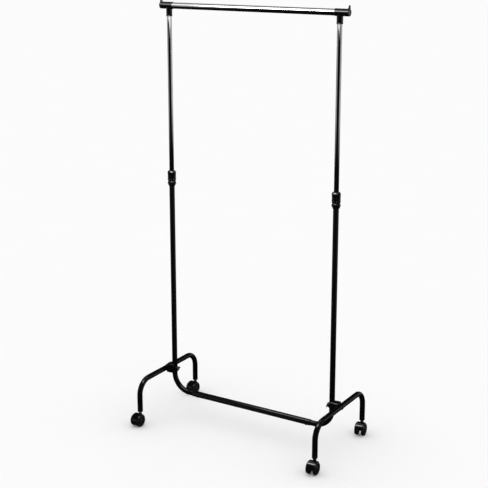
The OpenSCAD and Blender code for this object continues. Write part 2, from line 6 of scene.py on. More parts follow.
import bmesh
import bpy
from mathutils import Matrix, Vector


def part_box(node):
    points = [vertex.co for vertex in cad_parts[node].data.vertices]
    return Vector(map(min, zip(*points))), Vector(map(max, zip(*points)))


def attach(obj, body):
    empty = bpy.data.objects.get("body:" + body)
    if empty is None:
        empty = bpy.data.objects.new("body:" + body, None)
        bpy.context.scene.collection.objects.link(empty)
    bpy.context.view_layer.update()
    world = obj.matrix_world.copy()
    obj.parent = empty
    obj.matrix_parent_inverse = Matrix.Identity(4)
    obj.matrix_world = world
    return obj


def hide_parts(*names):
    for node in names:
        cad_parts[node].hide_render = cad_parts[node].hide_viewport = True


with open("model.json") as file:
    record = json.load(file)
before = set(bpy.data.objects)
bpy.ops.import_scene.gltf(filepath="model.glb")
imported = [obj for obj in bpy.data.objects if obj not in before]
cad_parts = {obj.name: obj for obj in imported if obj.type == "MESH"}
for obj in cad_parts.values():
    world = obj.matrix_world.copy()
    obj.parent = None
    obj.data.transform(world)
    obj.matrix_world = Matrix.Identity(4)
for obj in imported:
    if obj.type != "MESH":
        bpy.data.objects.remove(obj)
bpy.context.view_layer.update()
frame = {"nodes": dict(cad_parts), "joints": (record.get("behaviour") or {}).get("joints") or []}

MM = 0.001
FIT = 0.05 * MM       # free space round a shaft or a tube in its bore
BOLT_R = 3 * MM
AXLE_R = 3 * MM
QUARTER = math.pi / 2
X_AXIS = Vector((1, 0, 0))
Y_AXIS = Vector((0, 1, 0))
Z_AXIS = Vector((0, 0, 1))
SIDES = ("left", "right")
CORNERS = ("front_left", "rear_left", "front_right", "rear_right")

scene = bpy.context.scene


def centre_of(node_name):
    low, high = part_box(node_name)
    return (low + high) / 2


middle_x = centre_of("hanging_rail").x
middle_y = centre_of("left_upper_tube").y


# ---------------------------------------------------------------- camera

CAMERA_AZIMUTH = math.radians(31.68)   # round from the front towards the right-hand leg
CAMERA_ELEVATION = math.radians(14.19)
CAMERA_DISTANCE = 4.507
CAMERA_AIM = Vector((middle_x - 0.0301, middle_y, 0.9005))
CAMERA_LENS = 83.62
CAMERA_SHIFT = -0.0544

camera_data = bpy.data.cameras.new("studio_camera")
camera_data.lens = CAMERA_LENS
camera_data.sensor_width = 36
camera_data.shift_y = CAMERA_SHIFT
camera_data.clip_end = 60
camera = bpy.data.objects.new("studio_camera", camera_data)
scene.collection.objects.link(camera)
towards_camera = Vector((
    math.sin(CAMERA_AZIMUTH) * math.cos(CAMERA_ELEVATION),
    -math.cos(CAMERA_AZIMUTH) * math.cos(CAMERA_ELEVATION),
    math.sin(CAMERA_ELEVATION),
))
camera.location = CAMERA_AIM + CAMERA_DISTANCE * towards_camera
camera.rotation_euler = towards_camera.to_track_quat("Z", "Y").to_euler()
scene.camera = camera


# ---------------------------------------------------------------- materials

def linear(hex_colour):
    """An sRGB colour written as hex, as linear red, green, blue and alpha."""
    channels = [int(hex_colour[i:i + 2], 16) / 255 for i in (1, 3, 5)]
    bent = [c / 12.92 if c <= 0.04045 else ((c + 0.055) / 1.055) ** 2.4 for c in channels]
    return (*bent, 1.0)


def add_node(tree, kind, values=None, links=None, stops=None, **settings):
    """Adds a node: values fill its sockets, links feed them, stops colour a ramp."""
    made = tree.nodes.new(kind)
    for name, value in settings.items():
        setattr(made, name, value)
    for socket, value in (values or {}).items():
        made.inputs[socket].default_value = value
    for socket, source in (links or {}).items():
        tree.links.new(source, made.inputs[socket])
    if stops:
        ramp = made.color_ramp.elements
        while len(ramp) < len(stops):
            ramp.new(0.5)
        for element, (place, colour) in zip(ramp, stops):
            element.position = place
            element.color = colour
    return made


def grey(level):
    return (level, level, level, 1.0)


def new_material(name):
    """A material with an empty node tree, and its object coordinates."""
    material = bpy.data.materials.new(name)
    material.use_nodes = True
    tree = material.node_tree
    tree.nodes.clear()
    return material, tree, add_node(tree, "ShaderNodeTexCoord").outputs["Object"]


def finish_material(tree, values, links):
    """Ends a node tree in a Principled shader with the given sockets."""
    shader = add_node(tree, "ShaderNodeBsdfPrincipled", values=values, links=links)
    add_node(tree, "ShaderNodeOutputMaterial", links={"Surface": shader.outputs["BSDF"]})


def gloss_enamel():
    """Black stove enamel, sprayed on drawn steel tube: deep gloss with a faint orange peel, dull
    where hands and feet rub it, and worn to a greyer line on its rims."""
    peel_size = 2.5 * MM
    rub_size = 90 * MM
    speck_size = 3 * MM
    material, tree, place = new_material("stove_enamel_black")
    rub = add_node(tree, "ShaderNodeTexNoise", {"Scale": 1 / rub_size, "Detail": 5.0},
                   {"Vector": place})
    gloss = add_node(tree, "ShaderNodeValToRGB", links={"Fac": rub.outputs["Fac"]},
                     stops=[(0.35, grey(0.13)), (0.7, grey(0.23))])
    specks = add_node(tree, "ShaderNodeTexNoise", {"Scale": 1 / speck_size, "Detail": 3.0},
                      {"Vector": place})
    dust = add_node(tree, "ShaderNodeValToRGB", links={"Fac": specks.outputs["Fac"]},
                    stops=[(0.68, grey(0)), (0.76, grey(0.16))])
    rough = add_node(tree, "ShaderNodeMath", links={0: gloss.outputs["Color"],
                                                    1: dust.outputs["Color"]}, operation="ADD")
    rims = add_node(tree, "ShaderNodeNewGeometry")
    colour = add_node(tree, "ShaderNodeValToRGB", links={"Fac": rims.outputs["Pointiness"]},
                      stops=[(0.53, linear("#060607")), (0.6, linear("#242426"))])
    peel = add_node(tree, "ShaderNodeTexNoise", {"Scale": 1 / peel_size, "Detail": 1.0},
                    {"Vector": place})
    skin = add_node(tree, "ShaderNodeBump", {"Strength": 0.25, "Distance": 0.015 * MM},
                    {"Height": peel.outputs["Fac"]})
    finish_material(tree, {"IOR": 1.5, "Specular IOR Level": 0.25},
                    {"Base Color": colour.outputs["Color"], "Roughness": rough.outputs["Value"],
                     "Normal": skin.outputs["Normal"]})
    return material


def chrome_plate(name, lengthwise):
    """Chromium plate over polished steel tube: a mirror with a cool tint, hair-fine lengthwise
    scratches from hangers and sliding, and cloudy finger marks."""
    scratch_width = 0.5 * MM   # the real ones are finer than the eye can part
    scratch_length = 120 * MM
    smudge_size = 45 * MM
    material, tree, place = new_material(name)
    stretch = [1 / scratch_width] * 3
    stretch[lengthwise] = 1 / scratch_length
    drawn = add_node(tree, "ShaderNodeMapping", {"Scale": stretch}, {"Vector": place})
    lines = add_node(tree, "ShaderNodeTexNoise", {"Scale": 1.0, "Detail": 2.0},
                     {"Vector": drawn.outputs["Vector"]})
    scratches = add_node(tree, "ShaderNodeValToRGB", links={"Fac": lines.outputs["Fac"]},
                         stops=[(0.6, grey(0)), (0.75, grey(0.1))])
    smudge = add_node(tree, "ShaderNodeTexNoise", {"Scale": 1 / smudge_size, "Detail": 4.0},
                      {"Vector": place})
    cloud = add_node(tree, "ShaderNodeValToRGB", links={"Fac": smudge.outputs["Fac"]},
                     stops=[(0.4, grey(0.035)), (0.72, grey(0.09))])
    rough = add_node(tree, "ShaderNodeMath", links={0: scratches.outputs["Color"],
                                                    1: cloud.outputs["Color"]}, operation="ADD")
    tint = add_node(tree, "ShaderNodeValToRGB", links={"Fac": smudge.outputs["Fac"]},
                    stops=[(0.35, linear("#e4e6e9")), (0.7, linear("#d3d5d9"))])
    finish_material(tree, {"Metallic": 1.0}, {"Base Color": tint.outputs["Color"],
                                              "Roughness": rough.outputs["Value"]})
    return material


def moulded_plastic(name, dark, worn, gloss, grain):
    """Black injection-moulded plastic: a fine spark-eroded grain, uneven satin from the mould and
    handling, and slightly paler rubbed edges."""
    flow_size = 14 * MM
    material, tree, place = new_material(name)
    flow = add_node(tree, "ShaderNodeTexNoise", {"Scale": 1 / flow_size, "Detail": 6.0},
                    {"Vector": place})
    satin = add_node(tree, "ShaderNodeValToRGB", links={"Fac": flow.outputs["Fac"]},
                     stops=[(0.35, grey(gloss)), (0.7, grey(gloss + 0.1))])
    edges = add_node(tree, "ShaderNodeNewGeometry")
    rubbed = add_node(tree, "ShaderNodeMath", {1: 0.12},
                      {0: flow.outputs["Fac"], 2: edges.outputs["Pointiness"]},
                      operation="MULTIPLY_ADD")
    colour = add_node(tree, "ShaderNodeValToRGB", links={"Fac": rubbed.outputs["Value"]},
                      stops=[(0.58, linear(dark)), (0.68, linear(worn))])
    skin_grain = add_node(tree, "ShaderNodeTexNoise", {"Scale": 1 / grain, "Detail": 2.0},
                          {"Vector": place})
    skin = add_node(tree, "ShaderNodeBump", {"Strength": 0.35, "Distance": 0.02 * MM},
                    {"Height": skin_grain.outputs["Fac"]})
    finish_material(tree, {"IOR": 1.49}, {"Base Color": colour.outputs["Color"],
                                          "Roughness": satin.outputs["Color"],
                                          "Normal": skin.outputs["Normal"]})
    return material


def plated_steel(name, pale, deep, low, high):
    """Turned or pressed steel with a thin plating: metallic, softly blurred, with fine tool marks
    and a cloudy passivated film."""
    mark_pitch = 0.4 * MM
    film_size = 6 * MM
    material, tree, place = new_material(name)
    film = add_node(tree, "ShaderNodeTexNoise", {"Scale": 1 / film_size, "Detail": 5.0},
                    {"Vector": place})
    colour = add_node(tree, "ShaderNodeValToRGB", links={"Fac": film.outputs["Fac"]},
                      stops=[(0.35, linear(deep)), (0.7, linear(pale))])
    rough = add_node(tree, "ShaderNodeValToRGB", links={"Fac": film.outputs["Fac"]},
                     stops=[(0.3, grey(low)), (0.7, grey(high))])
    across = add_node(tree, "ShaderNodeMapping", {"Scale": (90, 90, 1 / mark_pitch)},
                      {"Vector": place})
    marks = add_node(tree, "ShaderNodeTexNoise", {"Scale": 1.0, "Detail": 1.0},
                     {"Vector": across.outputs["Vector"]})
    skin = add_node(tree, "ShaderNodeBump", {"Strength": 0.3, "Distance": 0.01 * MM},
                    {"Height": marks.outputs["Fac"]})
    finish_material(tree, {"Metallic": 1.0}, {"Base Color": colour.outputs["Color"],
                                              "Roughness": rough.outputs["Color"],
                                              "Normal": skin.outputs["Normal"]})
    return material


enamel = gloss_enamel()
chrome_rail = chrome_plate("chromium_plate_rail", 0)
chrome_upper = chrome_plate("chromium_plate_upper", 2)
fitting_plastic = moulded_plastic("moulded_abs_black", "#070708", "#1a1a1c", 0.13, 0.7 * MM)
wheel_plastic = moulded_plastic("moulded_polypropylene_black", "#0b0b0c", "#222224", 0.3, 0.9 * MM)
nylon = moulded_plastic("moulded_nylon_black", "#161618", "#2c2c2f", 0.45, 0.6 * MM)
zinc = plated_steel("zinc_plated_steel", "#b9bcc2", "#8f9298", 0.24, 0.4)
black_steel = plated_steel("black_passivated_steel", "#4a4b4f", "#2c2d30", 0.3, 0.45)


# ---------------------------------------------------------------- bench work

def clear_bench():
    """Leaves edit mode with nothing selected."""
    if bpy.context.mode != "OBJECT":
        bpy.ops.object.mode_set(mode="OBJECT")
    bpy.ops.object.select_all(action="DESELECT")


def take(*pieces):
    clear_bench()
    for piece in pieces:
        piece.select_set(True)
    bpy.context.view_layer.objects.active = pieces[0]


def settle(name):
    """The piece on the bench gets its name, and its place goes into its mesh."""
    if bpy.context.mode != "OBJECT":
        bpy.ops.object.mode_set(mode="OBJECT")
    piece = bpy.context.active_object
    piece.name = name
    piece.data.name = name
    bpy.ops.object.transform_apply(location=True, rotation=True, scale=True)
    return piece


def face_out(piece):
    """Merges what lies on one spot and turns every face outwards."""
    take(piece)
    bpy.ops.object.mode_set(mode="EDIT")
    bpy.ops.mesh.select_all(action="SELECT")
    bpy.ops.mesh.remove_doubles(threshold=0.002 * MM)
    bpy.ops.mesh.normals_make_consistent(inside=False)
    bpy.ops.object.mode_set(mode="OBJECT")


def apply_modifier(piece, kind, **settings):
    take(piece)
    bpy.ops.object.modifier_add(type=kind)
    modifier = piece.modifiers[-1]
    for name, value in settings.items():
        setattr(modifier, name, value)
    bpy.ops.object.modifier_apply(modifier=modifier.name)


def round_edges(piece, width, segments=3, sharper_than=30):
    apply_modifier(piece, "BEVEL", width=width, segments=segments, limit_method="ANGLE",
                   angle_limit=math.radians(sharper_than), use_clamp_overlap=True)


def cut_away(piece, *cutters):
    for cutter in cutters:
        apply_modifier(piece, "BOOLEAN", object=cutter, operation="DIFFERENCE", solver="EXACT")
        bpy.data.objects.remove(cutter)


def clean_slivers(piece):
    """Takes out the hair-thin faces that a cut leaves."""
    take(piece)
    bpy.ops.object.mode_set(mode="EDIT")
    bpy.ops.mesh.select_all(action="SELECT")
    bpy.ops.mesh.dissolve_degenerate(threshold=0.01 * MM)
    bpy.ops.mesh.remove_doubles(threshold=0.01 * MM)
    bpy.ops.object.mode_set(mode="OBJECT")


def smooth(piece, up_to=35):
    take(piece)
    bpy.ops.object.shade_smooth_by_angle(angle=math.radians(up_to))


def join(name, *pieces):
    take(*pieces)
    bpy.ops.object.join()
    return settle(name)


def blend_together(piece, grain, passes):
    """Melts overlapping shapes into one moulded skin with soft corners."""
    apply_modifier(piece, "REMESH", mode="VOXEL", voxel_size=grain)
    apply_modifier(piece, "SMOOTH", factor=0.5, iterations=passes)


def bar(name, radius, start, end, sides=96):
    """A round bar between two points."""
    clear_bench()
    length = (end - start).length
    turn = (end - start).to_track_quat("Z", "Y").to_euler()
    bpy.ops.mesh.primitive_cylinder_add(vertices=sides, radius=radius, depth=length,
                                        location=(start + end) / 2, rotation=turn)
    return settle(name)


def block(name, low, high):
    """A square block between two corners."""
    clear_bench()
    low, high = Vector(low), Vector(high)
    bpy.ops.mesh.primitive_cube_add(size=1, location=(low + high) / 2, scale=high - low)
    return settle(name)


def turned(name, rings, sides=96, through=False):
    """Turned about Z: a circle is drawn out ring by ring, each a (height, radius). A piece that is
    bored through comes back to its first ring."""
    clear_bench()
    height, radius = rings[0]
    bpy.ops.mesh.primitive_circle_add(vertices=sides, radius=radius, location=(0, 0, height),
                                      fill_type="NOTHING" if through else "NGON")
    bpy.ops.object.mode_set(mode="EDIT")
    bpy.ops.mesh.select_all(action="SELECT")
    for next_height, next_radius in rings[1:]:
        bpy.ops.mesh.extrude_region_move(
            TRANSFORM_OT_translate={"value": (0, 0, next_height - height)})
        share = next_radius / radius
        bpy.ops.transform.resize(value=(share, share, 1), center_override=(0, 0, next_height))
        height, radius = next_height, next_radius
    piece = settle(name)
    face_out(piece)
    return piece


def drawn_tube(name, radius, wall, start, heading, moves, sides=64):
    """A tube drawn out from a circle. A move is a straight run, or a bend's centre and axis."""
    bend_steps = 20
    clear_bench()
    turn = heading.to_track_quat("Z", "Y").to_euler()
    bpy.ops.mesh.primitive_circle_add(vertices=sides, radius=radius, location=start, rotation=turn)
    bpy.ops.object.transform_apply(location=True, rotation=True, scale=True)
    bpy.ops.object.mode_set(mode="EDIT")
    bpy.ops.mesh.select_all(action="SELECT")
    for move in moves:
        if isinstance(move, Vector):
            bpy.ops.mesh.extrude_region_move(TRANSFORM_OT_translate={"value": move})
        else:
            centre, axis = move
            bpy.ops.mesh.spin(steps=bend_steps, angle=QUARTER, center=centre, axis=axis)
    piece = settle(name)
    face_out(piece)
    apply_modifier(piece, "SOLIDIFY", thickness=wall, offset=-1, use_even_offset=True)
    round_edges(piece, 0.3 * MM, 2, 60)
    smooth(piece)
    return piece


def select_where(piece, wanted):
    """Selects the piece's corners for which wanted says yes, and opens it for editing."""
    take(piece)
    bpy.ops.object.mode_set(mode="EDIT")
    bpy.ops.mesh.select_mode(type="VERT")
    bpy.ops.mesh.select_all(action="DESELECT")
    bpy.ops.object.mode_set(mode="OBJECT")
    for corner in piece.data.vertices:
        corner.select = wanted(corner.co)
    bpy.ops.object.mode_set(mode="EDIT")


def bevel_where(piece, wanted, width, segments=8):
    """Rounds the edges of which wanted says yes to the two ends."""
    take(piece)
    bpy.ops.object.mode_set(mode="EDIT")
    bpy.ops.mesh.select_mode(type="EDGE")
    bpy.ops.mesh.select_all(action="DESELECT")
    bpy.ops.object.mode_set(mode="OBJECT")
    for edge in piece.data.edges:
        edge.select = wanted(*[piece.data.vertices[corner].co for corner in edge.vertices])
    bpy.ops.object.mode_set(mode="EDIT")
    bpy.ops.mesh.bevel(offset=width, segments=segments, affect="EDGES")
    bpy.ops.object.mode_set(mode="OBJECT")


def copied(piece, name, move=(0, 0, 0), turn=(0, 0, 0)):
    """Another of the same piece, with its own mesh, turned about the origin and then moved."""
    twin = piece.copy()
    twin.data = piece.data.copy()
    scene.collection.objects.link(twin)
    take(twin)
    twin.location = move
    twin.rotation_euler = turn
    return settle(name)


def mirrored(piece, name, middle):
    """The other-handed piece, across the plane x = middle."""
    twin = copied(piece, name)
    twin.scale = (-1, 1, 1)
    twin.location = (2 * middle, 0, 0)
    settle(name)
    shell = bmesh.new()
    shell.from_mesh(twin.data)
    if shell.calc_volume(signed=True) < 0:
        bmesh.ops.reverse_faces(shell, faces=shell.faces)
        shell.to_mesh(twin.data)
    shell.free()
    return twin


def fit(piece, node_name, body, material):
    """The finished piece stands for its CAD node, rides on its body and gets its finish."""
    piece.data.materials.clear()
    piece.data.materials.append(material)
    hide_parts(node_name)
    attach(piece, body)


# ---------------------------------------------------------------- places in the frame

upright_low, upright_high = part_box("left_upright")
leg_low, leg_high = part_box("left_leg")
bar_low, bar_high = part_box("crossbar")
rail_low, rail_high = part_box("hanging_rail")
upper_low, upper_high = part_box("left_upper_tube")
saddle_low, saddle_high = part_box("left_saddle")

upright_x = centre_of("left_upper_tube").x
upright_r = (upright_high.y - upright_low.y) / 2
upright_wall = 1.2 * MM
leg_x = centre_of("left_leg").x
leg_r = (leg_high.x - leg_low.x) / 2
leg_wall = 1.2 * MM
leg_bar_z = leg_high.z - leg_r
leg_bend = 60 * MM
crossbar_z = centre_of("crossbar").z
crossbar_r = (bar_high.y - bar_low.y) / 2
crossbar_wall = 1.5 * MM
rail_z = centre_of("hanging_rail").z
rail_r = (rail_high.y - rail_low.y) / 2
upper_r = (upper_high.x - upper_low.x) / 2
chrome_wall = 1 * MM
foot_bend = saddle_low.z - crossbar_z
between = 2 * middle_x   # across the middle: the right-hand piece of a place x is at between - x


# ---------------------------------------------------------------- tubes

def make_tubes():
    """Uprights with their bent feet, crossbar, legs, and the chromed upper tubes and rail."""
    foot_top = crossbar_z + foot_bend
    foot = drawn_tube(
        "left_upright_tube", upright_r, upright_wall,
        Vector((upright_x, middle_y, upright_high.z)), -Z_AXIS,
        [Vector((0, 0, foot_top - upright_high.z)),
         (Vector((upright_x + foot_bend, middle_y, foot_top)), Y_AXIS),
         Vector((upright_high.x - upright_x - foot_bend, 0, 0))])
    fit(mirrored(foot, "right_upright_tube", middle_x), "right_upright", "base",
        enamel)
    fit(foot, "left_upright", "base", enamel)

    crossbar = drawn_tube("crossbar_tube", crossbar_r, crossbar_wall,
                          Vector((bar_low.x, middle_y, crossbar_z)), X_AXIS,
                          [Vector((bar_high.x - bar_low.x, 0, 0))])
    fit(crossbar, "crossbar", "base", enamel)

    front, rear = leg_low.y + leg_r, leg_high.y - leg_r
    rise = leg_bar_z - leg_bend
    leg = drawn_tube(
        "left_leg_tube", leg_r, leg_wall, Vector((leg_x, front, leg_low.z)), Z_AXIS,
        [Vector((0, 0, rise - leg_low.z)),
         (Vector((leg_x, front + leg_bend, rise)), X_AXIS),
         Vector((0, rear - front - 2 * leg_bend, 0)),
         (Vector((leg_x, rear - leg_bend, rise)), X_AXIS),
         Vector((0, 0, leg_low.z - rise))])
    fit(mirrored(leg, "right_leg_tube", middle_x), "right_leg", "base", enamel)
    fit(leg, "left_leg", "base", enamel)

    upper = drawn_tube("left_chrome_tube", upper_r, chrome_wall,
                       Vector((upright_x, middle_y, upper_low.z)), Z_AXIS,
                       [Vector((0, 0, upper_high.z - upper_low.z))])
    fit(mirrored(upper, "right_chrome_tube", middle_x), "right_upper_tube", "upper_frame",
        chrome_upper)
    fit(upper, "left_upper_tube", "upper_frame", chrome_upper)

    rail = drawn_tube("hanging_rail_tube", rail_r, chrome_wall,
                      Vector((rail_low.x, middle_y, rail_z)), X_AXIS,
                      [Vector((rail_high.x - rail_low.x, 0, 0))])
    fit(rail, "hanging_rail", "upper_frame", chrome_rail)


# ---------------------------------------------------------------- collars

GROOVES = 12
GROOVE_SPLIT = 16   # corners round the nut for each groove


def make_collars():
    """The flared ring, the lock nut with its grip grooves, and the stop rivet below them."""
    ring_low, ring_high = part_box("left_collar_ring")
    nut_low, nut_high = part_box("left_lock_nut")
    collar_r = (ring_high.x - ring_low.x) / 2
    seat = upright_r + FIT
    neck = upper_r + 3.3 * MM + FIT
    top = ring_high.z
    ring = turned("left_flared_ring", [
        (ring_low.z, seat), (ring_low.z, seat + 1.2 * MM), (ring_low.z + 1.2 * MM, seat + 2 * MM),
        (top - 9.7 * MM, collar_r - 0.2 * MM), (top - 9.1 * MM, collar_r),
        (top - 6.9 * MM, collar_r), (top - 6.2 * MM, collar_r - 0.15 * MM),
        (top - 0.9 * MM, collar_r - 1.9 * MM), (top, collar_r - 2.7 * MM),
        (top, neck + 0.5 * MM), (top - 0.5 * MM, neck), (top - 5 * MM, neck),
        (top - 5.5 * MM, seat), (ring_low.z, seat)], 128, True)
    smooth(ring, 28)
    place = (upright_x, middle_y, 0)
    other_place = (between - upright_x, middle_y, 0)
    fit(copied(ring, "right_flared_ring", other_place), "right_collar_ring", "base",
        fitting_plastic)
    fit(copied(ring, "left_flared_ring_set", place), "left_collar_ring", "base",
        fitting_plastic)
    bpy.data.objects.remove(ring)

    nut_r = (nut_high.x - nut_low.x) / 2
    foot, crown = nut_low.z, nut_high.z
    thread = upper_r + 4.15 * MM
    mouth = upper_r + 0.5 * MM
    groove_foot, groove_top = foot + 6 * MM, crown - 9 * MM
    waist = (foot + crown) / 2
    nut = turned("left_lock_nut_body", [
        (foot, thread), (foot, nut_r - 2.6 * MM), (foot + 0.5 * MM, nut_r - 1.9 * MM),
        (foot + 3.2 * MM, nut_r - 0.6 * MM), (foot + 4.2 * MM, nut_r - 0.25 * MM),
        (groove_foot, nut_r - 0.3 * MM), (groove_foot + 0.7 * MM, nut_r - 0.35 * MM),
        (groove_foot + 1.6 * MM, nut_r - 0.4 * MM), (groove_foot + 6 * MM, nut_r - 0.7 * MM),
        (waist, nut_r - 0.85 * MM), (groove_top - 6 * MM, nut_r - 0.6 * MM),
        (groove_top - 1.6 * MM, nut_r - 0.25 * MM), (groove_top - 0.7 * MM, nut_r - 0.15 * MM),
        (groove_top, nut_r - 0.1 * MM), (crown - 6.8 * MM, nut_r),
        (crown - 6 * MM, nut_r - 0.15 * MM), (crown - 5.2 * MM, nut_r - 0.6 * MM),
        (crown - 1.2 * MM, nut_r - 3.2 * MM), (crown - 0.4 * MM, nut_r - 3.9 * MM),
        (crown, nut_r - 4.8 * MM), (crown, mouth + 0.8 * MM), (crown - 0.4 * MM, mouth + 0.2 * MM),
        (crown - 0.8 * MM, mouth), (crown - 2 * MM, mouth), (crown - 6.5 * MM, thread),
        (foot, thread)], GROOVES * GROOVE_SPLIT, True)
    groove_depths = (1.6 * MM, 1.45 * MM, 0.95 * MM, 0.25 * MM)
    for step, depth in enumerate(groove_depths):
        press_grooves(nut, step, depth, groove_foot + 1.1 * MM, groove_top - 1.1 * MM, nut_r)
        press_grooves(nut, step, depth * 0.55, groove_foot + 0.3 * MM, groove_foot + 1.1 * MM,
                      nut_r)
        press_grooves(nut, step, depth * 0.55, groove_top - 1.1 * MM, groove_top - 0.3 * MM, nut_r)
    smooth(nut, 28)
    fit(copied(nut, "right_lock_nut_body", other_place), "right_lock_nut", "right_lock_nut",
        fitting_plastic)
    fit(copied(nut, "left_lock_nut_set", place), "left_lock_nut", "left_lock_nut",
        fitting_plastic)
    bpy.data.objects.remove(nut)

    rivet_low, rivet_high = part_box("stop_rivets")
    rivet_z = centre_of("stop_rivets").z
    head_r = (rivet_high.z - rivet_low.z) / 2
    head_h = middle_y - upright_r - rivet_low.y
    rivet = turned("rivet_head", [
        (-0.15 * MM, head_r), (0.15 * head_h, head_r), (0.5 * head_h, head_r * 0.88),
        (0.8 * head_h, head_r * 0.62), (0.95 * head_h, head_r * 0.32), (head_h, head_r * 0.1)], 32)
    smooth(rivet, 60)
    heads = []
    for side, x in (("left", upright_x), ("right", between - upright_x)):
        heads.append(copied(rivet, side + "_rivet_head", (x, middle_y - upright_r, rivet_z),
                            (QUARTER, 0, 0)))
    bpy.data.objects.remove(rivet)
    fit(join("stop_rivet_heads", *heads), "stop_rivets", "base", black_steel)


def press_grooves(nut, step, depth, low, high, nut_r):
    """Presses one pair of corner columns of every grip groove inwards, between two heights."""
    pitch = 2 * math.pi / (GROOVES * GROOVE_SPLIT)
    outer = nut_r - 2 * MM

    def in_groove(co):
        column = round(math.atan2(co.y, co.x) / pitch) % GROOVE_SPLIT
        near = min(column, GROOVE_SPLIT - column)
        return near == step and low <= co.z <= high and math.hypot(co.x, co.y) > outer

    select_where(nut, in_groove)
    share = (nut_r - 0.5 * MM - depth) / (nut_r - 0.5 * MM)
    bpy.ops.transform.resize(value=(share, share, 1), center_override=(0, 0, 0))
    bpy.ops.object.mode_set(mode="OBJECT")


# ---------------------------------------------------------------- tee connectors

def make_tees():
    """A tee in one moulding: arm, socket, lips, and the tongue that stops the hangers."""
    tee_low, tee_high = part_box("left_tee")
    arm_r = rail_r + 1.2 * MM
    socket_r = upper_r + 2.4 * MM
    lip, lip_w = 0.6 * MM, 3 * MM
    wall = 3.5 * MM
    cove = 7 * MM
    tongue_half = 5.5 * MM
    outer, inner = tee_low.x, tee_high.x
    foot = tee_low.z
    tongue_z = tee_high.z - tongue_half

    def at(x, z):
        return Vector((x, middle_y, z))

    arm = bar("tee_arm", arm_r, at(outer, rail_z), at(inner, rail_z))
    round_edges(arm, 1.8 * MM, 4, 60)
    arm_lip = bar("tee_arm_lip", arm_r + lip, at(inner - lip_w, rail_z), at(inner, rail_z))
    socket = bar("tee_socket", socket_r, at(upright_x, foot), at(upright_x, rail_z))
    socket_lip = bar("tee_socket_lip", socket_r + lip, at(upright_x, foot),
                     at(upright_x, foot + lip_w))
    tongue = bar("tee_tongue", tongue_half, at(outer, tongue_z), at(outer + wall, tongue_z))
    cheek = block("tee_cheek", (outer, middle_y - tongue_half, rail_z),
                  (outer + wall, middle_y + tongue_half, tongue_z))
    gusset = block("tee_gusset", (outer + 1 * MM, middle_y - tongue_half, rail_z + arm_r - 2 * MM),
                   (outer + wall + cove, middle_y + tongue_half, rail_z + arm_r + cove))
    scoop = Vector((outer + wall + cove, middle_y, rail_z + arm_r + cove))
    cut_away(gusset, bar("tee_scoop", cove, scoop - 20 * MM * Y_AXIS, scoop + 20 * MM * Y_AXIS))
    tee = join("left_tee_moulding", arm, arm_lip, socket, socket_lip, tongue, cheek, gusset)
    blend_together(tee, 0.45 * MM, 5)
    bore_end = rail_low.x - 1 * MM
    cut_away(tee,
             bar("rail_bore", rail_r + FIT, at(bore_end, rail_z), at(inner + MM, rail_z)),
             bar("tube_bore", upper_r + FIT, at(upright_x, foot - MM),
                 at(upright_x, upper_high.z)))
    smooth(tee, 50)
    fit(mirrored(tee, "right_tee_moulding", middle_x), "right_tee", "upper_frame",
        fitting_plastic)
    fit(tee, "left_tee", "upper_frame", fitting_plastic)


# ---------------------------------------------------------------- leg joints

